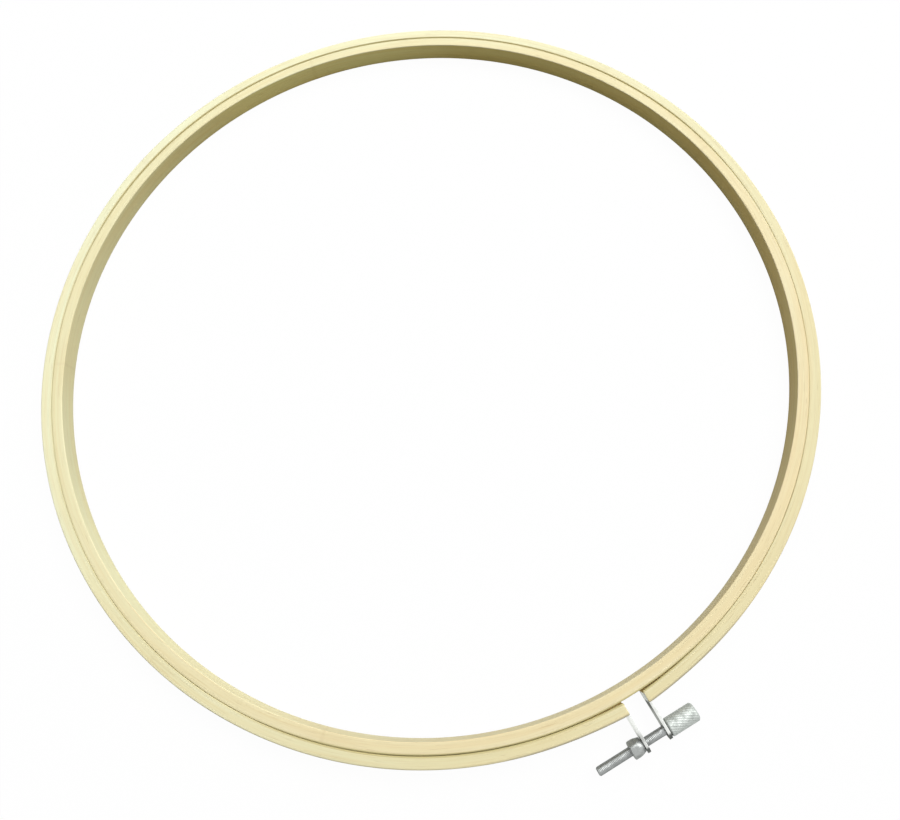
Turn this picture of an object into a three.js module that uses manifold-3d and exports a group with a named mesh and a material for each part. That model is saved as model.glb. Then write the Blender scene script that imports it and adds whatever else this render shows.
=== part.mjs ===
import * as THREE from "three";
import { mergeVertices } from "three/addons/utils/BufferGeometryUtils.js";
import Module from "manifold-3d";

// An embroidery hoop of bamboo. A plain inner ring sits inside an outer ring that is split at the front.
// A bent steel bracket is let into each end of the outer ring and riveted to it, and a thumb screw runs
// through both brackets into a nut, so that turning it draws the ends together on the cloth between the rings.
// Millimetres, +Z up. The hoop lies on z = 0 with the split facing -Y, the nut on the split's -X side and
// the thumb screw's head on its +X side. The outer ring is drawn as two halves that meet at the crown, the
// point of the ring opposite the split, which is where the ring bends most when it springs open.

// Driving dimensions of the two rings.
const clearDiameter = 283;
const innerBand = 4.1;
const outerBand = 4.2;
const ringHeight = 7.7;
const ringClearance = 0.2;
const edgeRound = 0.6;
const endFlare = 0.5;
const flareLength = 26;

// Driving dimensions of the brackets and their rivets. A bracket has a flange that comes out of the ring's
// outer wall level with the wood's end, with a rounded eye round the screw, and a tab on the ring's inner wall.
const clampGap = 7.5;
const plateThickness = 1;
const plateEdgeInset = 0.9;
const bendInside = 0.3;
const eyeReach = 3.2;
const tabLength = 15;
const tabHeight = 5;
const firstRivetInset = 5.5;
const lastRivetInset = 3.5;
const rivetDiameter = 1.6;
const rivetFlareDiameter = 2.6;
const rivetFlareDepth = 0.5;

// Driving dimensions of the thumb screw and nut, a 3 mm thread.
const screwStandOff = 10.4;
const shankDiameter = 3;
const shankLength = 27.3;
const shankTipChamfer = 0.4;
const headDiameter = 6.2;
const headLength = 10.8;
const headChamfer = 0.5;
const socketDepth = 7;
const nutAcrossFlats = 5.5;
const nutThickness = 4.4;
const nutCornerTrim = 0.3;
const nutSeatDiameter = 4.9;
const nutTaperLength = 2.8;

// Clearances: between pieces fixed to each other, under the head and the nut, between a tab and the inner
// ring, round the screw in a bracket that swings with the ring's end, and in the nut.
const seatGap = 0.1;
const bearingGap = 0.3;
const tabClearance = 0.25;
const bracketHoleClearance = 0.6;
const threadClearance = 0.15;

// Facets.
const ringSegments = 144;
const cornerSteps = 2;
const screwSegments = 24;
const headSegments = 48;
const rivetSegments = 14;
const arcSteps = 6;

// Radii measured from the hoop's own axis.
const innerRingInside = clearDiameter / 2;
const innerRingOutside = innerRingInside + innerBand;
const outerRingInside = innerRingOutside + ringClearance;
const outerRingOutside = outerRingInside + outerBand;
const tabInside = innerRingOutside + tabClearance;
const tabOutside = tabInside + plateThickness;
const screwRadius = outerRingOutside + screwStandOff;

// Distances on each side of the split's middle plane.
const woodEnd = clampGap / 2;
const flangeInside = woodEnd;
const flangeOutside = flangeInside + plateThickness;
const headBase = flangeOutside + bearingGap;
const nutFace = flangeOutside + bearingGap;

// How far along the wood each rivet stands, the last one by its distance from the tab's end.
const rivetArcs = [firstRivetInset, tabLength - lastRivetInset];

// Heights, and where the flanges end.
const midHeight = ringHeight / 2;
const flangeHeight = ringHeight - 2 * plateEdgeInset;
const flangeTip = screwRadius + eyeReach;
const tipMiddle = flangeTip - flangeHeight / 2;
const nutCorner = nutAcrossFlats / Math.sqrt(3);
const frontReach = screwRadius + Math.max(eyeReach, nutCorner, headDiameter / 2);

// The middle of a bracket's bend, which lies outside the tab and beyond the flange.
const bendOutside = bendInside + plateThickness;
const bendX = flangeInside + bendOutside;
const bendAngle = Math.asin(bendX / (tabInside + bendOutside));
const bendY = -(tabInside + bendOutside) * Math.cos(bendAngle);

const wasm = await Module();
wasm.setup();

// A closed geometry as a solid that can be joined and cut.
function solid(geometry) {
  const bare = new THREE.BufferGeometry();
  bare.setAttribute("position", geometry.getAttribute("position"));
  bare.setIndex(geometry.getIndex());
  const merged = mergeVertices(bare, 1e-4);
  return new wasm.Manifold(
    new wasm.Mesh({
      numProp: 3,
      vertProperties: merged.attributes.position.array,
      triVerts: new Uint32Array(merged.index.array),
    }),
  );
}

function geometryOf(manifold) {
  const mesh = manifold.getMesh();
  const geometry = new THREE.BufferGeometry();
  geometry.setAttribute("position", new THREE.BufferAttribute(mesh.vertProperties, 3));
  geometry.setIndex(new THREE.BufferAttribute(mesh.triVerts, 1));
  geometry.computeVertexNormals();
  return geometry;
}

// The same shape on the other side of the split's middle plane.
function mirrored(geometry) {
  const other = geometry.clone().scale(-1, 1, 1);
  other.setIndex([...other.index.array].reverse());
  other.computeVertexNormals();
  return other;
}

// A box by its lowest and highest corners.
function box([x0, y0, z0], [x1, y1, z1]) {
  const geometry = new THREE.BoxGeometry(x1 - x0, y1 - y0, z1 - z0);
  return solid(geometry.translate((x0 + x1) / 2, (y0 + y1) / 2, (z0 + z1) / 2));
}

// An outline in the hoop's plane as a slab of some height about the rings' mid height.
function slab(shape, height) {
  const geometry = new THREE.ExtrudeGeometry(shape, {
    depth: height,
    bevelEnabled: false,
    curveSegments: arcSteps,
  });
  return solid(geometry.translate(0, 0, midHeight - height / 2));
}

// A round bar on the thumb screw's axis.
function screwBar(radius, from, to) {
  const bar = new THREE.CylinderGeometry(radius, radius, to - from, screwSegments);
  return solid(bar.rotateZ(Math.PI / 2).translate((from + to) / 2, -screwRadius, midHeight));
}

// The outline of a bamboo band's section, radius across and height up, with rounded corners.
function bandSection(inside, outside) {
  const corners = [
    [outside - edgeRound, edgeRound, -0.5],
    [outside - edgeRound, ringHeight - edgeRound, 0],
    [inside + edgeRound, ringHeight - edgeRound, 0.5],
    [inside + edgeRound, edgeRound, 1],
  ];
  return corners.flatMap(([r, z, turn]) =>
    Array.from({ length: cornerSteps + 1 }, (_, k) => {
      const a = Math.PI * (turn + k / cornerSteps / 2);
      return new THREE.Vector2(r + edgeRound * Math.cos(a), z + edgeRound * Math.sin(a));
    }),
  );
}

function makeInnerRing() {
  const section = bandSection(innerRingInside, innerRingOutside);
  return new THREE.LatheGeometry([...section, section[0]], ringSegments).rotateX(Math.PI / 2);
}

// How far the outer ring stands outwards at a distance along it from its end, where the tab pushes it off.
function flare(arc) {
  return endFlare * Math.max(0, 1 - arc / flareLength) ** 2;
}

// The outer ring's half on the screw head's side, as a sweep from short of the split to the crown.
function sweepOuterHalf() {
  const start = (woodEnd - plateThickness) / outerRingInside;
  const steps = ringSegments / 2;
  const sections = Array.from({ length: steps + 1 }, (_, k) => {
    const angle = start + ((Math.PI - start) * k) / steps;
    const shift = flare(angle * outerRingInside - woodEnd);
    return bandSection(outerRingInside + shift, outerRingOutside + shift).map(({ x: r, y: z }) =>
      k === steps ? [0, r, z] : [r * Math.sin(angle), -r * Math.cos(angle), z],
    );
  });
  const count = sections[0].length;
  const last = steps * count;
  const index = [];
  for (let i = 0; i < last; i += count) {
    for (let j = 0; j < count; j++) {
      const next = (j + 1) % count;
      index.push(i + j, i + count + next, i + next);
      index.push(i + j, i + count + j, i + count + next);
    }
  }
  for (let j = 1; j < count - 1; j++) {
    index.push(0, j, j + 1);
    index.push(last, last + j + 1, last + j);
  }
  const geometry = new THREE.BufferGeometry();
  geometry.setAttribute("position", new THREE.Float32BufferAttribute(sections.flat(2), 3));
  geometry.setIndex(index);
  return solid(geometry);
}

function makeOuterHalf() {
  const pastRing = outerRingOutside + endFlare + outerBand;
  const splitCut = box([-plateThickness, -pastRing, -outerBand], [woodEnd, 0, ringHeight + outerBand]);
  return cutRivetHoles(sweepOuterHalf().subtract(splitCut.add(makePlate(seatGap))));
}

// The outline of the bracket on the screw head's side, grown by a margin: from the flange's end, along the
// side that faces the split, round the bend, along the tab and back on the wood's side.
function bracketOutline(margin) {
  const tip = -flangeTip - margin;
  const towardsHoop = Math.PI / 2 + bendAngle;
  const tabStart = bendAngle - Math.PI / 2;
  const tabEnd = (woodEnd + tabLength + margin) / tabOutside - Math.PI / 2;
  const shape = new THREE.Shape();
  shape.moveTo(flangeInside - margin, tip);
  shape.lineTo(flangeInside - margin, bendY);
  shape.absarc(bendX, bendY, bendOutside + margin, Math.PI, towardsHoop, true);
  shape.absarc(0, 0, tabInside - margin, tabStart, tabEnd, false);
  shape.absarc(0, 0, tabOutside + margin, tabEnd, tabStart, true);
  shape.absarc(bendX, bendY, bendInside - margin, towardsHoop, Math.PI, false);
  shape.lineTo(flangeOutside + margin, tip);
  return shape;
}

// A bent plate without its holes, grown by a margin: a flange that ends in a half round past the screw, and
// a narrower tab that follows the ring's inner wall.
function makePlate(margin) {
  const past = woodEnd + tabLength + bendOutside;
  const halfFlange = flangeHeight / 2 + margin;
  const halfTab = tabHeight / 2 + margin;
  const front = box([0, -tipMiddle, midHeight - halfFlange], [past, bendY + margin, midHeight + halfFlange]);
  const back = box([0, bendY - seatGap, midHeight - halfTab], [past, 0, midHeight + halfTab]);
  const round = screwBar(halfFlange, 0, past).translate(0, screwRadius - tipMiddle, 0);
  return slab(bracketOutline(margin), ringHeight).intersect(front.add(back).add(round));
}

function makeBracket() {
  const hole = screwBar(shankDiameter / 2 + bracketHoleClearance, 0, flangeOutside + plateThickness);
  return cutRivetHoles(makePlate(0).subtract(hole));
}

// Where a rivet stands, as an angle round the hoop from the split's middle.
function rivetAngle(arc) {
  return (woodEnd + arc) / outerRingInside;
}

// How far out a rivet's outer end lies, just inside the ring's outer wall.
function rivetEnd(arc) {
  return outerRingOutside + flare(arc + rivetFlareDiameter / 2) - seatGap / 2;
}

// Half of a rivet's outline, grown by a margin: a shank between two countersunk ends, one in the tab and one
// in the ring's outer wall.
function rivetOutline(arc, margin) {
  const shank = rivetDiameter / 2 + margin;
  const flared = rivetFlareDiameter / 2 + margin;
  const foot = tabInside + seatGap / 2 - 2 * margin;
  const end = rivetEnd(arc) + 2 * margin;
  return [
    new THREE.Vector2(0, foot),
    new THREE.Vector2(flared, foot),
    new THREE.Vector2(shank, tabInside + rivetFlareDepth + margin),
    new THREE.Vector2(shank, rivetEnd(arc) - rivetFlareDepth - margin),
    new THREE.Vector2(flared, end),
    new THREE.Vector2(0, end),
  ];
}

// A rivet along +Y from the hoop's axis.
function makeRivet(arc) {
  return new THREE.LatheGeometry(rivetOutline(arc, 0), rivetSegments);
}

function rivetHole(arc) {
  const outline = rivetOutline(arc, seatGap);
  const { x: flared, y: end } = outline.at(-2);
  const past = end + rivetFlareDepth;
  const profile = [...outline.slice(0, -1), new THREE.Vector2(flared, past), new THREE.Vector2(0, past)];
  const hole = new THREE.LatheGeometry(profile, rivetSegments);
  return solid(hole.rotateZ(Math.PI + rivetAngle(arc)).translate(0, 0, midHeight));
}

function cutRivetHoles(piece) {
  return geometryOf(rivetArcs.reduce((left, arc) => left.subtract(rivetHole(arc)), piece));
}

// A shape turned about Y from an outline of [radius, height] pairs, laid along +X.
function turned(outline, segments) {
  const profile = outline.map(([radius, height]) => new THREE.Vector2(radius, height));
  return new THREE.LatheGeometry(profile, segments).rotateZ(-Math.PI / 2);
}

// A hexagon with flats facing up and down and a clear bore. A cone trims its corners at the outer end, and
// a longer one narrows it to a round seat on the bracket.
function makeNut() {
  const half = nutThickness / 2;
  const past = half + nutCornerTrim;
  const bore = shankDiameter / 2 + threadClearance;
  const hexagon = new THREE.CylinderGeometry(nutCorner, nutCorner, nutThickness, 6).rotateY(Math.PI / 6);
  const trim = turned(
    [
      [0, -past],
      [nutAcrossFlats / 2 - nutCornerTrim, -past],
      [nutCorner + nutCornerTrim, -half + 2 * nutCornerTrim],
      [nutCorner + nutCornerTrim, past],
      [0, past],
    ],
    headSegments,
  );
  const seat = nutSeatDiameter / 2;
  const slope = (nutCorner - seat) / nutTaperLength;
  const taper = turned(
    [
      [0, -past],
      [seat + slope * (half + past), -past],
      [seat - slope * nutCornerTrim, past],
      [0, past],
    ],
    headSegments,
  );
  const hole = new THREE.CylinderGeometry(bore, bore, nutThickness * 2, screwSegments);
  const body = solid(hexagon.rotateZ(Math.PI / 2)).intersect(solid(trim)).intersect(solid(taper));
  return geometryOf(body.subtract(solid(hole.rotateZ(Math.PI / 2))));
}

// The screw's shank, from its chamfered tip at -X to the bottom of the head's socket.
function makeShank() {
  const radius = shankDiameter / 2;
  const end = socketDepth - seatGap;
  return turned(
    [
      [0, -shankLength],
      [radius - shankTipChamfer, -shankLength],
      [radius, -shankLength + shankTipChamfer],
      [radius, end],
      [0, end],
    ],
    screwSegments,
  );
}

// The thumb screw's head: a chamfered barrel with a socket that the shank is pressed into.
function makeHead() {
  const radius = headDiameter / 2;
  const socket = shankDiameter / 2 + seatGap;
  return turned(
    [
      [0, socketDepth],
      [socket, socketDepth],
      [socket, 0],
      [radius - headChamfer, 0],
      [radius, headChamfer],
      [radius, headLength - headChamfer],
      [radius - headChamfer, headLength],
      [0, headLength],
    ],
    headSegments,
  );
}

const bamboo = { color: 0xeee0b0, roughness: 0.55, metalness: 0 };
const nickel = { color: 0xc4c8c4, roughness: 0.35, metalness: 1 };
const steel = { color: 0xa9aeab, roughness: 0.4, metalness: 1 };

// The origin is on the ground at the middle of the whole part, so the rings' axis stands behind it.
const hoop = new THREE.Group();
hoop.position.y = (frontReach - outerRingOutside) / 2;

function addPiece(name, geometry, finish, parent = hoop) {
  const mesh = new THREE.Mesh(geometry, new THREE.MeshStandardMaterial(finish));
  mesh.name = name;
  parent.add(mesh);
  return mesh;
}

addPiece("inner_ring", makeInnerRing(), bamboo);

const outerHalf = makeOuterHalf();
const bracket = makeBracket();
addPiece("outer_ring_head_half", outerHalf, bamboo);
addPiece("outer_ring_nut_half", mirrored(outerHalf), bamboo);
addPiece("head_side_bracket", bracket, nickel);
addPiece("nut_side_bracket", mirrored(bracket), nickel);

for (const [name, side] of [["head", 1], ["nut", -1]]) {
  rivetArcs.forEach((arc, k) => {
    const rivet = addPiece(`${name}_side_rivet_${k + 1}`, makeRivet(arc), steel);
    rivet.rotation.z = Math.PI + side * rivetAngle(arc);
    rivet.position.z = midHeight;
  });
}

const screwLine = new THREE.Group();
screwLine.position.set(0, -screwRadius, midHeight);
hoop.add(screwLine);

addPiece("clamp_nut", makeNut(), steel, screwLine).position.x = -nutFace - nutThickness / 2;
addPiece("thumb_screw_shank", makeShank(), steel, screwLine).position.x = headBase;
addPiece("thumb_screw_head", makeHead(), nickel, screwLine).position.x = headBase;

const part = new THREE.Group();
part.add(hoop);

export default part;
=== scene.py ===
import math

import bmesh
import bpy
from mathutils import Matrix, Vector, noise


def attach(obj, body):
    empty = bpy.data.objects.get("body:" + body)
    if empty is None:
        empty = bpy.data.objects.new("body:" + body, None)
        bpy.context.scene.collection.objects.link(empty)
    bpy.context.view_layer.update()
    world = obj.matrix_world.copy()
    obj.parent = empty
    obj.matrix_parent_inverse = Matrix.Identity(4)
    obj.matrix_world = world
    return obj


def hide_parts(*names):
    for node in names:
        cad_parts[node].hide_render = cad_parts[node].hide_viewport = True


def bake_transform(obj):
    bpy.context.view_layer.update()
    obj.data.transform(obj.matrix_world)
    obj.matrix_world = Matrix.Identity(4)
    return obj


# Looks of an embroidery hoop: two bamboo rings, and a clamp of two bent plates, rivets, a knurled thumb
# screw and a nut. Sizes are in millimetres until a mesh is made. Radii of the rings are measured from
# their own axis, angles round them from the split towards the head's side, and places along the screw
# from the split's middle.

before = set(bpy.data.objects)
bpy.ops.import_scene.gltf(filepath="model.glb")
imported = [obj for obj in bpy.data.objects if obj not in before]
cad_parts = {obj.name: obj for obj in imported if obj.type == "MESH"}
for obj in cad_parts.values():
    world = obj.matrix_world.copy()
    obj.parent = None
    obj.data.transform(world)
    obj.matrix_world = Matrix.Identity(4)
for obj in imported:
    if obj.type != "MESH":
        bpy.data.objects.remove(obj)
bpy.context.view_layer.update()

MM = 0.001

# The rings. Their top, foot and outer wall lie a hair inside those of the solids.
RING_Y = 6.8
INNER_INSIDE = 141.5
INNER_BAND = 4.1
RING_CLEARANCE = 0.2
OUTER_BAND = 4.17
INNER_OUTSIDE = INNER_INSIDE + INNER_BAND
OUTER_INSIDE = INNER_OUTSIDE + RING_CLEARANCE
OUTER_OUTSIDE = OUTER_INSIDE + OUTER_BAND
RING_HEIGHT = 7.7
RING_FOOT = 0.01
RING_TOP = RING_HEIGHT - RING_FOOT
MID_HEIGHT = RING_HEIGHT / 2
EDGE_ROUND = 0.6
SEAM_ROUND = 0.42
WALL_UNEVEN = 0.05
FACE_UNEVEN = 0.06
SEAM_PRESS = 0.05
FLARE = 0.5
FLARE_LENGTH = 26
END_ROUND = 0.3
WOOD_END = 3.75
INNER_STATIONS = 720
OUTER_STATIONS = 700
# Where the cane's nodes lie round each ring, in degrees.
INNER_NODES = (96, 171, 243, 318)
OUTER_NODES = (118, 205, 292)

# The brackets and their rivets.
SCREW_RADIUS = 160.4
EYE_REACH = 3.2
HOLE_RADIUS = 2.1
PLATE = 1
PLATE_EDGE_ROUND = 0.13
FLANGE_X = WOOD_END + PLATE / 2
FLANGE_TIP = SCREW_RADIUS + EYE_REACH
FLANGE_HEIGHT = 5.9
TAB_SINK = 0.05
TAB_RADIUS = OUTER_INSIDE + TAB_SINK + PLATE / 2
TAB_HEIGHT = 5
TAB_LENGTH = 15
TAB_GAP = 0.1
TAB_CORNER = 0.22
POCKET_HALF_HEIGHT = TAB_HEIGHT / 2 + TAB_GAP
POCKET_EDGE = 0.02
BEND_RADIUS = 0.8
BEND_X = FLANGE_X + BEND_RADIUS
BEND_FROM_AXIS = TAB_RADIUS + BEND_RADIUS
BEND_LEAN = math.asin(BEND_X / BEND_FROM_AXIS)
BEND_Y = -BEND_FROM_AXIS * math.cos(BEND_LEAN)
FLANGE_LENGTH = FLANGE_TIP + BEND_Y
BEND_LENGTH = BEND_RADIUS * (math.pi / 2 - BEND_LEAN)
RIVET_ARCS = (5.5, 11.5)
RIVET_RADIUS = 0.8
RIVET_FLARE = 1.3
RIVET_FLARE_DEPTH = 0.5
RIVET_PROUD = 0.09

# The screw, its head and the nut.
BEARING_GAP = 0.3
HEAD_FROM = FLANGE_X + PLATE / 2 + BEARING_GAP
HEAD_LENGTH = 10.8
HEAD_RADIUS = 3.095
HEAD_CHAMFER = 0.5
# The turned end of the head, as (radius, height over that end).
HEAD_DISH = [(2.3, 0), (2.15, -0.06), (0.5, -0.1), (0.35, -0.25), (0.02, -0.4)]
KNURL_STARTS = 20
KNURL_ANGLE = 30
KNURL_DEPTH = 0.1
SHANK_LENGTH = 27.3
SOCKET_DEPTH = 6.9
SHANK_FROM = HEAD_FROM - SHANK_LENGTH
SHANK_TO = HEAD_FROM + SOCKET_DEPTH
SHANK_CHAMFER = 0.45
THREAD_TO = 2.5
THREAD_RADIUS = 1.49
THREAD_DEPTH = 0.06
PITCH = 0.5
NUT_THICKNESS = 4.4
NUT_TO = -HEAD_FROM
NUT_FROM = NUT_TO - NUT_THICKNESS
NUT_FLATS = 5.49
NUT_FACE = 0.94
NUT_FACE_SLOPE = 35
NUT_CORNER_TRIM = 0.09
NUT_SEAT = 2.45
NUT_TAPER = 2.8
NUT_BORE = 1.56
NUT_SINK = 0.22
NUT_SINK_DEPTH = 0.3

# Radii between which the painted shade on a flange sets in, or fades out again.
TIP_SHADE_RADII = (161, 162)
NUT_SIDE_EDGE_SHADE_RADII = (154.5, 158.7)
NUT_SIDE_FACE_SHADE_RADII = (155.8, 158.5)
NUT_SIDE_SHADE_FADES = (158.9, 160)
HEAD_SIDE_FACE_SHADE_RADII = (149.8, 150.3)
HEAD_SIDE_SHADE_FADES = (151.2, 155)

# The photo's camera, from a pinhole camera fitted to the rings' edges in it.
CAMERA_PLACE = (-26.449, -89.471, 249.268)
CAMERA_TARGET = (-3.582, -23.018, 7.7)
CAMERA_UPWARDS = (0.48688, 0.82931, 0.27422)
CAMERA_LENS = 26.803
CAMERA_SENSOR = 36

FLOOR_REACH = 4000


# Materials


def srgb(r, g, b):
    """A colour as it should look, from 0 to 255, as the linear one that a shader takes."""
    return tuple(((c / 255 + 0.055) / 1.055) ** 2.4 for c in (r, g, b)) + (1,)


class Tree:
    """The nodes of a material or a world. Each method adds a node and returns its output."""

    def __init__(self, owner):
        owner.use_nodes = True
        self.owner = owner
        self.tree = owner.node_tree
        self.tree.nodes.clear()

    def node(self, kind, inputs=(), **settings):
        node = self.tree.nodes.new("ShaderNode" + kind)
        for key, value in settings.items():
            setattr(node, key, value)
        for key, value in dict(inputs).items():
            if isinstance(value, bpy.types.NodeSocket):
                self.tree.links.new(value, node.inputs[key])
            else:
                node.inputs[key].default_value = value
        return node

    def attribute(self, name, output="Fac"):
        return self.node("Attribute", attribute_name=name).outputs[output]

    def math(self, operation, *values):
        return self.node("Math", dict(enumerate(values)), operation=operation).outputs[0]

    def vector(self, operation, a, b):
        return self.node("VectorMath", {0: a, 1: b}, operation=operation).outputs["Vector"]

    def dot(self, a, b):
        return self.node("VectorMath", {0: a, 1: b}, operation="DOT_PRODUCT").outputs["Value"]

    def combine(self, x, y, z):
        return self.node("CombineXYZ", {0: x, 1: y, 2: z}).outputs[0]

    def noise(self, place, scale, detail, w=None):
        inputs = {"Vector": place, "Scale": scale, "Detail": detail}
        if w is None:
            return self.node("TexNoise", inputs).outputs["Fac"]
        return self.node("TexNoise", inputs | {"W": w}, noise_dimensions="4D").outputs["Fac"]

    def remap(self, value, low, high, to_low=0, to_high=1):
        inputs = {"Value": value, "From Min": low, "From Max": high, "To Min": to_low, "To Max": to_high}
        return self.node("MapRange", inputs, interpolation_type="SMOOTHSTEP").outputs["Result"]

    def mix(self, share, a, b, blend="MIX"):
        node = self.node("Mix", {0: share, 6: a, 7: b}, data_type="RGBA", blend_type=blend)
        return node.outputs[2]

    def bump(self, height, distance):
        return self.node("Bump", {"Height": height, "Distance": distance}).outputs["Normal"]

    def seen(self):
        """Whether a ray comes from the camera or from shiny metal, as 1 or 0."""
        path = self.node("LightPath").outputs
        shiny = self.math("MAXIMUM", path["Is Glossy Ray"], path["Is Transmission Ray"])
        return self.math("MAXIMUM", path["Is Camera Ray"], shiny)

    def surface(self, color, roughness, normal, **constants):
        inputs = {"Base Color": color, "Roughness": roughness, "Normal": normal}
        shader = self.node("BsdfPrincipled", inputs)
        for key, value in constants.items():
            shader.inputs[key.replace("_", " ")].default_value = value
        self.node("OutputMaterial", {"Surface": shader.outputs[0]})
        return self.owner


# Bamboo

# The radius at which the lengths of the grain are true.
GRAIN_RADIUS = 146
STRAW = srgb(252, 252, 215)
NODE_BROWN = srgb(186, 154, 104)


def grain(t, seed, length, width, detail):
    """Noise stretched along the ring, with spots LENGTH millimetres long and WIDTH across."""
    lengthwise = t.vector("MULTIPLY", t.attribute("ring", "Vector"), (GRAIN_RADIUS / length,) * 3)
    crosswise = t.math("MULTIPLY_ADD", t.attribute("across"), 1 / width, seed)
    place = t.vector("ADD", lengthwise, t.combine(0, 0, crosswise))
    return t.noise(place, 1, detail, t.math("MULTIPLY", t.attribute("up"), 1 / width))


def towards(t, direction, low, high, to_low=0, to_high=1):
    """A value for each place round the ring, by how far it lies in a direction from the ring's middle."""
    lean = t.dot(t.attribute("ring", "Vector"), (*direction, 0))
    return t.remap(lean, low, high, to_low, to_high)


def with_nodes(t, color, streaks):
    """The faint marks of the cane's nodes, with a ragged line in the middle of each."""
    from_node = t.attribute("from_node")
    ragged = t.math("MULTIPLY_ADD", t.math("SUBTRACT", streaks, 0.5), 3.5, from_node)
    color = t.mix(t.remap(from_node, 0, 16, 0.1, 0), color, srgb(230, 208, 158))
    return t.mix(t.remap(ragged, 0.25, 1.1, 0.08, 0), color, NODE_BROWN)


def with_painted_seam_shade(t, color, seam):
    """Painted shade on the lip by the seam between the rings: most across from the split and by it, else a
    little, more on the left.
    """
    across_from = towards(t, (0.42, 0.91), 0.2, 0.75)
    by_split = towards(t, (-0.31, -0.95), 0.8, 0.95)
    left = towards(t, (-1, 0), -0.6, 0.3, 0.05, 0.35)
    seam_shade_share = t.math("ADD", t.math("MAXIMUM", across_from, by_split), left)
    lip = t.math("MULTIPLY", t.remap(t.attribute("across"), *seam), t.remap(t.attribute("up"), 6.9, 7.3))
    return t.mix(t.math("MULTIPLY", seam_shade_share, lip), color, srgb(206, 194, 140))


def with_painted_rim_shade(t, color, rim_shade):
    """Painted shade: the rounded outer edge by the split, greyed."""
    rim = t.math("MULTIPLY", t.remap(t.attribute("across"), 3.3, 3.75), t.remap(t.attribute("up"), 6.4, 7.1))
    by_split = towards(t, (0, -1), 0.93, 0.985, 0, rim_shade)
    return t.mix(t.math("MULTIPLY", rim, by_split), color, srgb(186, 176, 146))


def with_painted_wall_shade(t, color, shade):
    """The wall that faces in, with painted shade and light: darker by SHADE, browner where it faces away
    from the window lamp, lighter where it faces it, and a little lighter across from the split.
    """
    low_down = t.remap(t.attribute("up"), 7.1, 7.6, 1, 0)
    inside = t.math("MULTIPLY", t.remap(t.attribute("across"), 0.1, 0.3, 1, 0), low_down)
    wall = t.mix(towards(t, (0.87, 0.5), -0.75, 0.85), srgb(232, 234, 231), srgb(215, 201, 137))
    wall = t.mix(towards(t, (-0.914, -0.407), 0.8, 1), wall, srgb(250, 255, 255))
    wall = t.mix(towards(t, (0.208, 0.978), 0.9, 1), wall, srgb(237, 228, 173))
    return t.mix(t.math("MULTIPLY", inside, shade), color, t.mix(1, color, wall, "MULTIPLY"))


def bamboo(name, seed, shade, seam, ripe, pale, rim_shade=0):
    """Bamboo strip bent round, with fibres along the ring. SHADE is how much darker its inner wall is, as
    painted shade. SEAM says where across the strip the painted shade along the seam starts and is full. The
    tint goes from RIPE by the split to PALE across from it. The last argument is the share of grey painted
    shade on the outer edge by the split."""
    t = Tree(bpy.data.materials.new(name))
    patches = grain(t, seed, 75, 3.2, 2)
    hue = grain(t, seed + 11, 38, 2.4, 1)
    streaks = grain(t, seed + 23, 42, 0.55, 3)
    fibres = grain(t, seed + 37, 13, 0.17, 2)
    bundles = grain(t, seed + 53, 8, 0.3, 1)

    color = t.mix(t.remap(patches, 0.32, 0.68), STRAW, srgb(251, 245, 201))
    color = t.mix(t.remap(hue, 0.35, 0.7, 0, 0.5), color, srgb(249, 250, 210))
    color = t.mix(t.remap(streaks, 0.45, 0.75, 0, 0.5), color, srgb(242, 231, 182))
    color = t.mix(t.remap(fibres, 0.5, 0.75, 0, 0.22), color, srgb(214, 190, 138))
    color = t.mix(t.remap(bundles, 0.66, 0.74, 0, 0.2), color, NODE_BROWN)
    color = with_nodes(t, color, streaks)
    tint = t.mix(towards(t, (-0.34, 0.94), -1, 1), ripe, pale)
    color = t.mix(1, color, tint, "MULTIPLY")
    # Painted shade along the seam between the rings.
    color = with_painted_seam_shade(t, color, seam)
    # Painted shade on the outer edge by the split.
    if rim_shade:
        color = with_painted_rim_shade(t, color, rim_shade)
    # Painted shade and light on the wall that faces in.
    color = with_painted_wall_shade(t, color, shade)

    height = t.math("ADD", fibres, t.math("MULTIPLY", streaks, 1.5))
    height = t.math("SUBTRACT", height, t.remap(bundles, 0.6, 0.72, 0, 0.8))
    roughness = t.remap(streaks, 0.3, 0.7, 0.5, 0.64)
    normal = t.bump(height, 0.03 * MM)
    return t.surface(color, roughness, normal, IOR=1.46, Specular_IOR_Level=0.35)


# Nickel


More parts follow.
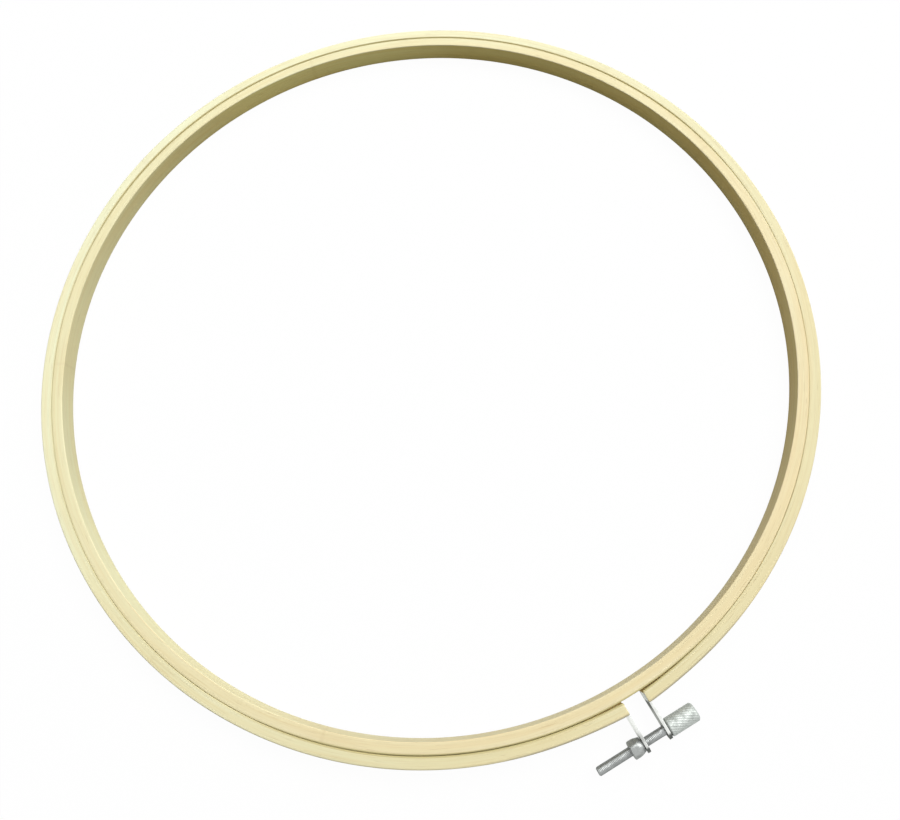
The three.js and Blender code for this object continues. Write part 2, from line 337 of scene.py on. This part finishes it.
def nickel(name, color, roughness, edge, dirt_and_shade=None, seam_tab_shade=None, brushed=None, metal=1):
    """Nickel plate: soft smudges, fine grit and brushing along an axis, tinted by EDGE where it turns away,
    and dull where METAL is below 1. The fifth argument names an attribute of the mesh, from 0 to 1, and
    gives the colour where that is 1 and how far it reaches it: dirt in the thread's and the knurl's hollows,
    and painted shade on the brackets' flanges. The sixth is a colour of brown painted shade, given where the
    brackets' seam attribute is 1."""
    t = Tree(bpy.data.materials.new(name))
    place = t.node("TexCoord").outputs["Object"]
    smudge = t.noise(place, 700, 3)
    height = t.noise(place, 9000, 2)
    dull = tuple(0.8 * c for c in color[:3]) + (1,)
    shown = t.mix(t.remap(smudge, 0.35, 0.72), color, dull)
    shine = t.remap(smudge, 0.3, 0.75, roughness * 0.85, roughness * 1.3)
    if brushed:
        lines = t.noise(t.vector("MULTIPLY", place, brushed), 1, 2)
        height = t.math("ADD", height, t.math("MULTIPLY", lines, 2))
    # Dirt in the hollows of the screw; painted shade on the brackets.
    if dirt_and_shade:
        where, shade, share = dirt_and_shade
        darkening = t.attribute(where)
        shown = t.mix(t.math("MULTIPLY", darkening, share), shown, shade)
        shine = t.math("MULTIPLY_ADD", darkening, 0.15, shine)
    # Brown painted shade on the brackets' part between the rings.
    if seam_tab_shade:
        seam_tab_shaded = t.attribute("seam_tab_shaded")
        shown = t.mix(seam_tab_shaded, shown, seam_tab_shade)
        shine = t.math("MULTIPLY_ADD", seam_tab_shaded, 0.4, shine)
    normal = t.bump(height, 0.003 * MM)
    return t.surface(shown, shine, normal, Metallic=metal, Specular_Tint=edge)


WHITE = srgb(255, 255, 255)
INNER_BAMBOO = bamboo(
    "inner_bamboo",
    seed=3.7,
    shade=0.9,
    seam=(3.3, 3.95),
    ripe=srgb(248, 236, 227),
    pale=srgb(251, 246, 238),
)
OUTER_BAMBOO = bamboo(
    "outer_bamboo",
    seed=71.3,
    shade=0.6,
    seam=(0.75, 0.1),
    ripe=srgb(242, 233, 221),
    pale=WHITE,
    # Share of grey painted shade on the outer edge by the split.
    rim_shade=0.8,
)
BRIGHT_EDGE, PALE_EDGE, DARK_EDGE = srgb(250, 252, 248), srgb(205, 208, 202), srgb(120, 122, 118)
# The brackets' look: painted shade on the flanges, brown painted shade on the part in the seam, and
# brushing.
PLATE_LOOK = {
    "dirt_and_shade": ("flange_shade", srgb(84, 87, 84), 0.95),
    "seam_tab_shade": srgb(176, 150, 92),
    "brushed": (900, 900, 9000),
}
# Lit and shaded copies of one nickel plating: painted light on the nut-side plate, a touch lighter with a
# brighter edge tint, and painted shade on the head-side plate.
LIT_NUT_PLATE = nickel("nut_side_nickel_lit", srgb(242, 244, 240), 0.3, BRIGHT_EDGE, **PLATE_LOOK)
SHADED_HEAD_PLATE = nickel("head_side_nickel_shaded", srgb(238, 240, 236), 0.3, PALE_EDGE, **PLATE_LOOK)
RIVET_STEEL = nickel("rivet_steel", srgb(200, 203, 198), 0.36, PALE_EDGE)
NUT_STEEL = nickel("nut_steel", srgb(170, 173, 171), 0.46, PALE_EDGE, metal=0.8)
THREAD_DIRT = ("low", srgb(122, 124, 118), 0.25)
SCREW_STEEL = nickel("screw_steel", srgb(164, 167, 166), 0.36, DARK_EDGE, THREAD_DIRT)
KNURL_DIRT = ("low", srgb(160, 166, 161), 0.4)
HEAD_STEEL = nickel("screw_head", srgb(206, 211, 207), 0.55, PALE_EDGE, KNURL_DIRT, metal=0.8)


# Meshes


def place_object(name, mesh):
    obj = bpy.data.objects.new(name, mesh)
    bpy.context.scene.collection.objects.link(obj)
    return obj


def dress(obj, material, sharp):
    """Shades a mesh smooth up to SHARP degrees and gives it its material."""
    mesh = obj.data
    mesh.polygons.foreach_set("use_smooth", [True] * len(mesh.polygons))
    mesh.set_sharp_from_angle(angle=math.radians(sharp))
    mesh.materials.append(material)


def piece(name, points, faces, material, sharp=35):
    """A mesh object in metres from points in millimetres, its faces turned outwards."""
    bm = bmesh.new()
    verts = [bm.verts.new(Vector(p) * MM) for p in points]
    for face in faces:
        bm.faces.new([verts[i] for i in face])
    bmesh.ops.recalc_face_normals(bm, faces=bm.faces)
    mesh = bpy.data.meshes.new(name)
    bm.to_mesh(mesh)
    bm.free()
    obj = place_object(name, mesh)
    dress(obj, material, sharp)
    return obj


def store(obj, name, values, domain="POINT"):
    """Numbers, or vectors, kept for the material at each of the mesh's points or faces."""
    vector = not isinstance(values[0], (int, float))
    attribute = obj.data.attributes.new(name, "FLOAT_VECTOR" if vector else "FLOAT", domain)
    flat = [c for v in values for c in v] if vector else values
    attribute.data.foreach_set("vector" if vector else "value", flat)


def grid_faces(rows, columns, closed_rows=False):
    """Quads between rows of points, each row a loop of COLUMNS points."""
    return [
        (
            i * columns + j,
            i * columns + (j + 1) % columns,
            (i + 1) % rows * columns + (j + 1) % columns,
            (i + 1) % rows * columns + j,
        )
        for i in range(rows if closed_rows else rows - 1)
        for j in range(columns)
    ]


def end_caps(count, columns):
    """The first and last of the rows of points, each as one face."""
    return [range(columns), range(count - columns, count)]


def arc_steps(start, end, count):
    """COUNT equal steps from START to END, both of them included."""
    return [start + (end - start) * k / count for k in range(count + 1)]


def smooth_step(value, low, high):
    t = min(1, max(0, (value - low) / (high - low)))
    return t * t * (3 - 2 * t)


def soft_corner(p, before, after, radius):
    """Points that round off the corner P of an outline between its two neighbours."""
    steps = 4
    p, before, after = Vector(p), Vector(before), Vector(after)
    a, b = (before - p).normalized(), (after - p).normalized()
    half = a.angle(b) / 2
    reach = radius / math.tan(half)
    middle = p + (a + b).normalized() * radius / math.sin(half)
    start, end = p + a * reach - middle, p + b * reach - middle
    return [tuple(middle + start.slerp(end, k / steps)) for k in range(steps + 1)]


def softened(outline, radius):
    """An outline with each inner corner rounded, its first and last points kept."""
    out = [outline[0]]
    for before, p, after in zip(outline, outline[1:], outline[2:]):
        out += soft_corner(p, before, after, radius)
    return out + [outline[-1]]


# Bamboo rings


INNER_WALL_HEIGHTS = [6.5, 5.3, MID_HEIGHT, 2.4, 1.2]
OUTER_WALL_HEIGHTS = [
    MID_HEIGHT + POCKET_HALF_HEIGHT + POCKET_EDGE,
    MID_HEIGHT + POCKET_HALF_HEIGHT - POCKET_EDGE,
    5.2,
    MID_HEIGHT,
    2.5,
    MID_HEIGHT - POCKET_HALF_HEIGHT + POCKET_EDGE,
    MID_HEIGHT - POCKET_HALF_HEIGHT - POCKET_EDGE,
]


def wobble(angle, scale, seed):
    """A slow, seamless unevenness round the ring, from 0 to 1."""
    value = noise.noise(Vector((scale * math.cos(angle), scale * math.sin(angle), seed)))
    return min(1, max(0, 0.5 + 0.7 * value))


def seam_room(angle):
    """How open the seam between the rings is, from 0 where they press together to 1."""

    def near(degrees, spread):
        off = math.remainder(angle - math.radians(degrees), 2 * math.pi)
        return math.exp(-((off / math.radians(spread)) ** 2))

    room = 0.55 + 0.5 * near(338, 14) - 0.2 * near(14, 12) - 0.55 * near(56, 30) - 0.5 * near(264, 34)
    return min(1, max(0, room + 0.2 * (wobble(angle, 9, 51.7) - 0.5)))


def seam_round(room):
    """The rounding of the two edges by the seam, sharper where the rings press together."""
    return SEAM_ROUND * (0.4 + 0.6 * room)


def band_section(inside, outside, foot, top, round_in, round_out, inner_heights):
    """The outline of a bent strip's section as (radius, height), with every corner rounded."""
    corner_steps, wall_steps, face_steps = 5, 5, 4
    width = outside - inside

    def corner(r, z, radius, turn):
        for k in range(corner_steps + 1):
            a = math.pi * (turn + k / corner_steps) / 2
            yield r + radius * math.cos(a), z + radius * math.sin(a)

    low, high = foot + EDGE_ROUND, top - EDGE_ROUND
    section = list(corner(outside - round_out, foot + round_out, round_out, -1))
    section += [(outside, low + (high - low) * k / wall_steps) for k in range(1, wall_steps)]
    section += corner(outside - round_out, top - round_out, round_out, 0)
    section += [(outside - width * k / face_steps, top) for k in range(1, face_steps)]
    section += corner(inside + round_in, top - round_in, round_in, 1)
    section += [(inside, z) for z in inner_heights]
    section += corner(inside + round_in, foot + round_in, round_in, 2)
    section += [(inside + width * k / face_steps, foot) for k in range(1, face_steps)]
    return section


def finish_band(name, stations, faces, nodes, material):
    """Makes a ring from its stations of (angle, radius, height, distance from its inner wall). NODES are the
    angles of the cane's nodes, in degrees."""
    flat = [p for station in stations for p in station]
    points = [(r * math.sin(a), RING_Y - r * math.cos(a), z) for a, r, z, _ in flat]
    obj = piece(name, points, faces, material)
    store(obj, "ring", [(math.sin(a), -math.cos(a), 0.0) for a, _, _, _ in flat])
    store(obj, "across", [float(across) for _, _, _, across in flat])
    store(obj, "up", [float(z) for _, _, z, _ in flat])

    def from_node(a):
        nearest = min(abs(math.remainder(a - math.radians(n), 2 * math.pi)) for n in nodes)
        return min(nearest * INNER_OUTSIDE, 60.0)

    store(obj, "from_node", [from_node(a) for a, _, _, _ in flat])
    return obj


def make_inner_ring():
    stations = []
    for k in range(INNER_STATIONS):
        a = 2 * math.pi * k / INNER_STATIONS
        room = seam_room(a)
        inside = INNER_INSIDE + WALL_UNEVEN * wobble(a, 2.5, 4.1)
        outside = INNER_OUTSIDE + SEAM_PRESS * (1 - room)
        top = RING_TOP - FACE_UNEVEN * wobble(a, 3, 15.2)
        inner_round = 0.16 + 0.12 * wobble(a, 5, 21.9)
        section = band_section(
            inside, outside, RING_FOOT, top, inner_round, seam_round(room), INNER_WALL_HEIGHTS
        )
        stations.append([(a, r, z, r - inside) for r, z in section])
    faces = grid_faces(INNER_STATIONS, len(stations[0]), closed_rows=True)
    return finish_band("inner_band", stations, faces, INNER_NODES, INNER_BAMBOO)


def outer_station(x, angle, inset=0.0):
    """A section of the outer ring across the plane at X by the split, or at an angle all round."""
    middle = angle if x is None else math.asin(x / OUTER_INSIDE)
    arc = abs(math.remainder(middle, 2 * math.pi)) * OUTER_INSIDE - WOOD_END
    shift = FLARE * max(0, 1 - arc / FLARE_LENGTH) ** 2
    room = seam_room(middle)
    inside = OUTER_INSIDE + shift - SEAM_PRESS * (1 - room)
    outside = OUTER_OUTSIDE + shift - FACE_UNEVEN * wobble(middle, 2.5, 38.6)
    top = RING_TOP - FACE_UNEVEN * wobble(middle, 3, 41.4)
    outer_round = EDGE_ROUND * (0.8 + 0.25 * wobble(middle, 5, 47.3))
    section = band_section(
        inside + inset,
        outside - inset,
        RING_FOOT + inset,
        top - inset,
        seam_round(room),
        outer_round,
        OUTER_WALL_HEIGHTS,
    )
    pocket = TAB_RADIUS + PLATE / 2 + TAB_GAP
    by_tab = x is not None and abs(x) < WOOD_END + TAB_LENGTH + 1.5 * TAB_GAP
    station = []
    for r, z in section:
        beside_tab = abs(z - MID_HEIGHT) < POCKET_HALF_HEIGHT - POCKET_EDGE / 2
        if by_tab and beside_tab and r < inside + inset + 0.01:
            r = pocket
        a = middle if x is None else math.asin(x / r)
        station.append((a, r, z, max(0, r - inside)))
    return station


def lip_station(x, inset, cut, above):
    """The part of the outer ring's section that lies over or under the flange let into the wood's end."""
    station = outer_station(x, None, inset)
    count = len(station)
    kept = [above * (z - cut) > 0 for _, _, z, _ in outer_station(x, None)]
    out = []
    for i, (a, r, z, across) in enumerate(station):
        beside = next((station[j] for j in (i - 1, (i + 1) % count) if kept[j]), None)
        if kept[i]:
            out.append((a, r, above * max(above * z, above * cut), across))
        elif beside:
            out.append((beside[0], beside[1], cut, beside[3]))
    return out


def make_outer_ring():
    """The split ring in five blocks: the whole way round, and a lip over and under each flange."""
    flange_past = PLATE + TAB_GAP
    tab_past = [TAB_LENGTH + TAB_GAP, TAB_LENGTH + 2 * TAB_GAP, TAB_LENGTH + 1]
    along = [flange_past, *range(2, TAB_LENGTH), *tab_past]
    start = (WOOD_END + TAB_LENGTH + 2) / OUTER_INSIDE
    main = [outer_station(WOOD_END + d, None) for d in along]
    main += [outer_station(None, a) for a in arc_steps(start, 2 * math.pi - start, OUTER_STATIONS)]
    main += [outer_station(-WOOD_END - d, None) for d in reversed(along)]
    blocks = [main]
    arcs = arc_steps(0, math.pi / 2, 4)
    rim = [(END_ROUND * (1 - math.cos(a)), END_ROUND * (1 - math.sin(a))) for a in arcs] + [(flange_past, 0)]
    for side in (1, -1):
        for above in (1, -1):
            cut = MID_HEIGHT + above * (FLANGE_HEIGHT / 2 + TAB_GAP)
            blocks.append([lip_station(side * (WOOD_END + d), inset, cut, above) for d, inset in rim])
    faces = []
    first = 0
    for block in blocks:
        columns = len(block[0])
        count = len(block) * columns
        local = grid_faces(len(block), columns) + end_caps(count, columns)
        faces += [[first + i for i in face] for face in local]
        first += count
    return finish_band("outer_band", sum(blocks, []), faces, OUTER_NODES, OUTER_BAMBOO)


# Brackets and rivets


def bracket_line(s):
    """Where a distance S along the middle of the bent plate lies, from the flange's tip to the tab's end."""
    if s < FLANGE_LENGTH:
        return FLANGE_X, s - FLANGE_TIP
    if s < FLANGE_LENGTH + BEND_LENGTH:
        a = math.pi - (s - FLANGE_LENGTH) / BEND_RADIUS
        return BEND_X + BEND_RADIUS * math.cos(a), BEND_Y + BEND_RADIUS * math.sin(a)
    a = BEND_LEAN + (s - FLANGE_LENGTH - BEND_LENGTH) / TAB_RADIUS
    return TAB_RADIUS * math.sin(a), -TAB_RADIUS * math.cos(a)


def bracket_outline():
    """The plate's flat pattern and its hole, as (distance from the flange's tip, height), and its length."""
    tab_arc = (WOOD_END + TAB_LENGTH) / (TAB_RADIUS + PLATE / 2) - BEND_LEAN
    end = FLANGE_LENGTH + BEND_LENGTH + tab_arc * TAB_RADIUS
    tip = FLANGE_HEIGHT / 2
    shoulder = FLANGE_LENGTH - 0.05
    tab = TAB_HEIGHT / 2
    side = [(tip, tip), (shoulder, tip), (shoulder, tab), (end, tab), (end, 0)]
    round_tip = [(tip - tip * math.cos(a), tip * math.sin(a)) for a in arc_steps(0, math.pi / 2, 16)]
    upper = round_tip + softened(side, TAB_CORNER)[1:]
    lower = [(s, -z) for s, z in reversed(upper[1:-1])]
    hole = [
        (EYE_REACH + HOLE_RADIUS * math.cos(a), HOLE_RADIUS * math.sin(a))
        for a in arc_steps(0, 2 * math.pi, 48)[:-1]
    ]
    return upper + lower, hole, end


def flat_plate():
    """The bracket's flat pattern, with slices across it where it bends or where its painted shade changes.
    """
    outline, hole, end = bracket_outline()
    bm = bmesh.new()
    for loop in (outline, hole):
        verts = [bm.verts.new((s, z, 0)) for s, z in loop]
        for a, b in zip(verts, verts[1:] + verts[:1]):
            bm.edges.new((a, b))
    bmesh.ops.triangle_fill(bm, edges=bm.edges, use_beauty=True)
    tab = FLANGE_LENGTH + BEND_LENGTH
    cuts = arc_steps(0.3, FLANGE_LENGTH - 0.3, 40)
    cuts += arc_steps(FLANGE_LENGTH - 0.04, tab + 0.3, 12) + arc_steps(tab + 0.8, end - 0.5, 16)
    for s in cuts:
        geometry = bm.verts[:] + bm.edges[:] + bm.faces[:]
        bmesh.ops.bisect_plane(bm, geom=geometry, plane_co=(s, 0, 0), plane_no=(1, 0, 0), dist=1e-5)
    return bm


def thicken(obj):
    """Gives a sheet its thickness, with softened edges."""
    thick = obj.modifiers.new("thickness", "SOLIDIFY")
    thick.thickness = PLATE * MM
    thick.offset = 0
    thick.use_even_offset = True
    edge = obj.modifiers.new("edge", "BEVEL")
    edge.width = PLATE_EDGE_ROUND * MM
    edge.segments = 3
    edge.limit_method = "ANGLE"
    edge.angle_limit = math.radians(40)
    bpy.context.view_layer.update()
    made = bpy.data.meshes.new_from_object(obj.evaluated_get(bpy.context.evaluated_depsgraph_get()))
    obj.modifiers.clear()
    obj.data = made


def make_bracket(name, side, material):
    """A folded plate: its flat pattern is folded, thickened and given its painted shade, on the flange and
    on the part between the rings.
    """
    bm = flat_plate()
    for vert in bm.verts:
        x, y = bracket_line(vert.co.x)
        vert.co = Vector((side * x, RING_Y + y, MID_HEIGHT + vert.co.y)) * MM
    bmesh.ops.recalc_face_normals(bm, faces=bm.faces)
    mesh = bpy.data.meshes.new(name)
    bm.to_mesh(mesh)
    bm.free()
    obj = place_object(name, mesh)
    thicken(obj)
    dress(obj, material, 35)
    facets = obj.data.polygons
    # Painted shade: on the flange by its place, and brown on the part between the rings.
    store(obj, "flange_shade", [float(flange_shade(p.center, p.normal, side)) for p in facets], "FACE")
    store(obj, "seam_tab_shaded", [in_seam(p.center) for p in facets], "FACE")
    return obj


def in_seam(place):
    """Whether a facet of a bracket lies between the rings, where it is given a brown painted shade, as 1 or
    0.
    """
    x, y = place.x / MM, RING_Y - place.y / MM
    return float(x**2 + y**2 < BEND_FROM_AXIS**2 or abs(x) > FLANGE_X + PLATE / 2 + 0.2)


def flange_shade(place, normal, side):
    """How much painted shade a facet of a bracket's flange gets, from 0 to 1: its tip on both sides, its
    edges and broad faces by the nut, and its broad faces on the head's side, most just outside the ring."""
    radius = math.hypot(place.x / MM, RING_Y - place.y / MM)
    tip = smooth_step(radius, *TIP_SHADE_RADII)
    broad = smooth_step(abs(normal.x), 0.4, 0.9)
    if side < 0:
        clear = 1 - 0.6 * smooth_step(radius, *NUT_SIDE_SHADE_FADES)
        edges = 0.5 * smooth_step(radius, *NUT_SIDE_EDGE_SHADE_RADII)
        face = 0.65 * broad * smooth_step(radius, *NUT_SIDE_FACE_SHADE_RADII)
        return max(tip, clear * max(edges, face))
    clear = 1 - 0.45 * smooth_step(radius, *HEAD_SIDE_SHADE_FADES)
    return max(tip, broad * smooth_step(radius, *HEAD_SIDE_FACE_SHADE_RADII) * clear)


def turned(outline, segments):
    """Points and faces of a shape turned about an axis from (radius, height) pairs, as (height, y, z)."""
    points = [
        (h, r * math.cos(a), r * math.sin(a))
        for r, h in outline
        for a in (2 * math.pi * k / segments for k in range(segments))
    ]
    return points, grid_faces(len(outline), segments) + end_caps(len(points), segments)


def make_rivet(name, side, arc):
    """A shank between two flat set ends, one in the tab and one level with the ring's outer wall."""
    foot = OUTER_INSIDE + 2 * TAB_SINK
    end = OUTER_OUTSIDE + RIVET_PROUD + FLARE * (1 - (arc - RIVET_FLARE) / FLARE_LENGTH) ** 2
    outline = [
        (0.05, foot + 0.1),
        (0.55, foot + 0.1),
        (0.7, foot),
        (RIVET_FLARE - 0.1, foot),
        (RIVET_FLARE, foot + 0.06),
        (RIVET_RADIUS, foot + RIVET_FLARE_DEPTH),
        (RIVET_RADIUS, end - RIVET_FLARE_DEPTH),
        (RIVET_FLARE, end - 0.1),
        (RIVET_FLARE - 0.08, end - 0.03),
        (0.8, end),
        (0.7, end - 0.06),
        (0.05, end - 0.1),
    ]
    points, faces = turned(outline, 48)
    angle = (WOOD_END + arc) / OUTER_INSIDE
    placed = Matrix.Rotation(side * angle - math.pi / 2, 4, "Z")
    lifted = Matrix.Translation((0, RING_Y, MID_HEIGHT))
    points = [lifted @ placed @ Vector(p) for p in points]
    return piece(name, points, faces, RIVET_STEEL)


# Screw and nut


def on_screw(points):
    """Points given about the X axis, moved onto the screw's own axis."""
    return [(x, RING_Y - SCREW_RADIUS + y, MID_HEIGHT + z) for x, y, z in points]


def thread_height(phase):
    """How far up its flank a thread stands, from 0 at the root to 1 at the crest."""
    return 1 - smooth_step(abs(math.remainder(phase, 1)), 0.06, 0.44)


def make_shank():
    """The threaded shank. Its rows of points follow the helix, so that crest and root stay sharp."""
    columns = 48
    per_pitch = 10
    rows = round((THREAD_TO - SHANK_FROM) / PITCH * per_pitch) + per_pitch
    points = []
    low = []

    def add(x, j):
        a = 2 * math.pi * j / columns
        runout = min(1, max(0, (THREAD_TO - x) / (1.5 * PITCH)))
        depth = (1 - thread_height(x / PITCH - j / columns)) * runout
        r = min(THREAD_RADIUS - THREAD_DEPTH * depth, THREAD_RADIUS - SHANK_CHAMFER + (x - SHANK_FROM))
        points.append((x, r * math.cos(a), r * math.sin(a)))
        low.append(depth)

    for i in range(rows):
        for j in range(columns):
            x = SHANK_FROM + PITCH * (i / per_pitch - 1 + j / columns)
            add(min(THREAD_TO, max(SHANK_FROM + 0.001 * i, x)), j)
    for x in (THREAD_TO + 0.01, SHANK_TO):
        for j in range(columns):
            add(x, j)
    count = len(points)
    faces = grid_faces(count // columns, columns) + end_caps(count, columns)
    obj = piece("screw_thread", on_screw(points), faces, SCREW_STEEL, sharp=50)
    store(obj, "low", low)
    return obj


def groove(phase):
    """How deep a knurl's groove is at a share of the way to the next, from 0 to 1."""
    return max(0, 1 - abs(math.remainder(phase, 1)) / 0.42)


def along_fold(corners, low):
    """A quad of the knurl as two triangles, split along its deeper diagonal."""
    a, b, c, d = corners
    if low[a] + low[c] > low[b] + low[d]:
        return [(a, b, c), (a, c, d)]
    return [(a, b, d), (b, c, d)]


def make_head():
    """The thumb screw's head: a diamond knurl between two chamfers, on a grid that follows its grooves, and
    a turned end with a shallow dish and a small centre mark."""
    per_start = 10
    columns = KNURL_STARTS * per_start
    lead = 2 * math.pi * HEAD_RADIUS / KNURL_STARTS / math.tan(math.radians(KNURL_ANGLE))
    steps = math.ceil(HEAD_LENGTH / lead * per_start)
    grid = [min(HEAD_LENGTH, max(0.0, (i + 0.5) * lead / per_start)) for i in range(-1, steps + 1)]
    ends = [0.0, 0.12, 0.2, HEAD_LENGTH - 0.2, HEAD_LENGTH - 0.12, HEAD_LENGTH]
    heights = sorted({*ends, *grid})
    points = []
    low = []

    def add(x, r, j, depth):
        a = 2 * math.pi * j / columns
        points.append((HEAD_FROM + x, r * math.cos(a), r * math.sin(a)))
        low.append(float(depth))

    for x in heights:
        chamfered = HEAD_RADIUS - HEAD_CHAMFER + min(x, HEAD_LENGTH - x)
        for j in range(columns):
            turn = j / per_start
            depth = max(0.5 * groove(turn + x / lead), groove(turn - x / lead))
            add(x, min(HEAD_RADIUS - KNURL_DEPTH * depth, chamfered), j, depth)
    for r, x in HEAD_DISH:
        for j in range(columns):
            add(HEAD_LENGTH + x, r, j, 0)
    barrel = grid_faces(len(heights), columns)
    dish = grid_faces(len(heights) + len(HEAD_DISH), columns)[len(barrel):]
    faces = [triangle for quad in barrel for triangle in along_fold(quad, low)]
    faces += dish + end_caps(len(points), columns)
    obj = piece("knurled_head", on_screw(points), faces, HEAD_STEEL, sharp=28)
    store(obj, "low", low)
    return obj


def make_nut():
    """A hexagon nut: flats with softened corners, a cone that trims them at the outer end, a longer cone
    down to the round seat, and a countersunk bore."""
    columns = 180
    corner = NUT_FLATS / math.sqrt(3)
    face_radius = NUT_FLATS / 2 * NUT_FACE
    face_slope = math.tan(math.radians(NUT_FACE_SLOPE))
    taper_slope = NUT_TAPER / (corner - NUT_SEAT)
    ease = 0.05
    mouth = NUT_BORE + NUT_SINK

    def hexagon(a):
        across = math.remainder(a - math.pi / 2, math.pi / 3)
        return NUT_FLATS / 2 / math.cos(across) - NUT_CORNER_TRIM * smooth_step(abs(across), 0.38, 0.53)

    def profile(a):
        r = hexagon(a)
        outer = NUT_FROM + (r - face_radius) * face_slope
        inner = NUT_TO - (r - NUT_SEAT) * taper_slope
        return [
            (NUT_FROM + NUT_SINK_DEPTH, NUT_BORE),
            (NUT_FROM, mouth),
            (NUT_FROM, face_radius - ease),
            (NUT_FROM + ease / 2, face_radius + ease / 2),
            (outer - ease / 2, r - ease / 2),
            (outer + ease, r),
            (inner - ease, r),
            (inner + 3 * ease, r - 2 * ease / taper_slope),
            (NUT_TO - 0.12, NUT_SEAT),
            (NUT_TO, NUT_SEAT - 0.1),
            (NUT_TO, mouth),
            (NUT_TO - NUT_SINK_DEPTH, NUT_BORE),
        ]

    angles = [2 * math.pi * j / columns for j in range(columns)]
    rows = list(zip(*(profile(a) for a in angles)))
    points = [(x, r * math.cos(a), r * math.sin(a)) for row in rows for (x, r), a in zip(row, angles)]
    faces = grid_faces(len(rows), columns, closed_rows=True)
    return piece("hex_nut", on_screw(points), faces, NUT_STEEL, sharp=30)


# The hoop

outer = make_outer_ring()
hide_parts("outer_ring_nut_half", "outer_ring_head_half")
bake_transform(outer)

inner = make_inner_ring()
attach(inner, "inner_hoop")
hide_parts("inner_ring")

SIDES = (("head", 1, "screw_side_arm", SHADED_HEAD_PLATE), ("nut", -1, "nut_side_arm", LIT_NUT_PLATE))
for label, side, body, plating in SIDES:
    bracket = make_bracket(f"{label}_side_plate", side, plating)
    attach(bracket, body)
    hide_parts(f"{label}_side_bracket")
    for k, arc in enumerate(RIVET_ARCS, 1):
        rivet = make_rivet(f"{label}_side_stud_{k}", side, arc)
        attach(rivet, body)
        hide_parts(f"{label}_side_rivet_{k}")

shank = make_shank()
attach(shank, "thumb_screw")
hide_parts("thumb_screw_shank")

head = make_head()
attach(head, "thumb_screw")
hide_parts("thumb_screw_head")

nut = make_nut()
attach(nut, "nut")
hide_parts("clamp_nut")


# Stage, light and camera


def make_floor():
    """A white floor. What the camera and the metal see of it is nearly white by itself, with the hoop's
    shadow on it, and what it throws back on the hoop is softer."""
    t = Tree(bpy.data.materials.new("floor_paper"))
    mottle = t.noise(t.node("TexCoord").outputs["Object"], 40, 2)
    paper = t.mix(mottle, srgb(250, 250, 250), srgb(253, 253, 253))
    shaded = t.node("BsdfDiffuse", {"Color": paper}).outputs[0]
    glow = t.node("Emission", {"Color": WHITE, "Strength": 1}).outputs[0]
    white = t.node("MixShader", {0: 0.97, 1: shaded, 2: glow}).outputs[0]
    grey = t.node("BsdfDiffuse", {"Color": srgb(186, 186, 184)}).outputs[0]
    mixed = t.node("MixShader", {0: t.seen(), 1: grey, 2: white}).outputs[0]
    t.node("OutputMaterial", {"Surface": mixed})
    mesh = bpy.data.meshes.new("floor")
    corners = [(x * FLOOR_REACH, y * FLOOR_REACH, 0) for x, y in ((-1, -1), (1, -1), (1, 1), (-1, 1))]
    mesh.from_pydata([Vector(c) * MM for c in corners], [], [(0, 1, 2, 3)])
    mesh.materials.append(t.owner)
    place_object("floor", mesh)


def make_lamp(name, direction, elevation, distance, size, power):
    """A square soft lamp that looks at the hoop's middle, its sizes in metres."""
    tilt = math.radians(elevation)
    flat = Vector((*direction, 0)).normalized() * math.cos(tilt)
    place = (flat + Vector((0, 0, math.sin(tilt)))) * distance
    light = bpy.data.lights.new(name, "AREA")
    light.size = size
    light.energy = power
    lamp = place_object(name, light)
    lamp.location = place
    lamp.rotation_euler = place.to_track_quat("Z", "Y").to_euler()


def make_world():
    """Plain studio surroundings: white to the camera and in the metal, and else a soft grey that is
    brighter towards the lamp."""
    t = Tree(bpy.data.worlds.new("studio"))
    way = t.node("TexCoord").outputs["Generated"]
    sideways = t.node("SeparateXYZ", {0: way}).outputs["X"]
    inputs = {"Value": sideways, "From Min": -1, "From Max": 1, "To Min": 0.16, "To Max": 0.46}
    soft = t.node("MapRange", inputs).outputs["Result"]
    strength = t.node("Mix", {0: t.seen(), 2: soft, 3: 1}).outputs[0]
    background = t.node("Background", {"Color": WHITE, "Strength": strength}).outputs[0]
    t.node("OutputWorld", {"Surface": background})
    bpy.context.scene.world = t.owner


def make_camera():
    place, target = Vector(CAMERA_PLACE) * MM, Vector(CAMERA_TARGET) * MM
    back = (place - target).normalized()
    right = Vector(CAMERA_UPWARDS).cross(back).normalized()
    above = back.cross(right)
    lens = bpy.data.cameras.new("photo_view")
    lens.sensor_fit = "HORIZONTAL"
    lens.sensor_width = CAMERA_SENSOR
    lens.lens = CAMERA_LENS
    lens.clip_start = 0.01
    camera = place_object("photo_view", lens)
    camera.matrix_world = Matrix.Translation(place) @ Matrix((right, above, back)).transposed().to_4x4()
    bpy.context.scene.camera = camera


make_floor()
make_world()
make_lamp("window", direction=(0.95, 0.27), elevation=50, distance=3, size=2.2, power=73)
make_lamp("ceiling", direction=(0.15, 0.99), elevation=45, distance=2, size=0.8, power=7)
make_camera()
bpy.context.scene.view_settings.view_transform = "Standard"
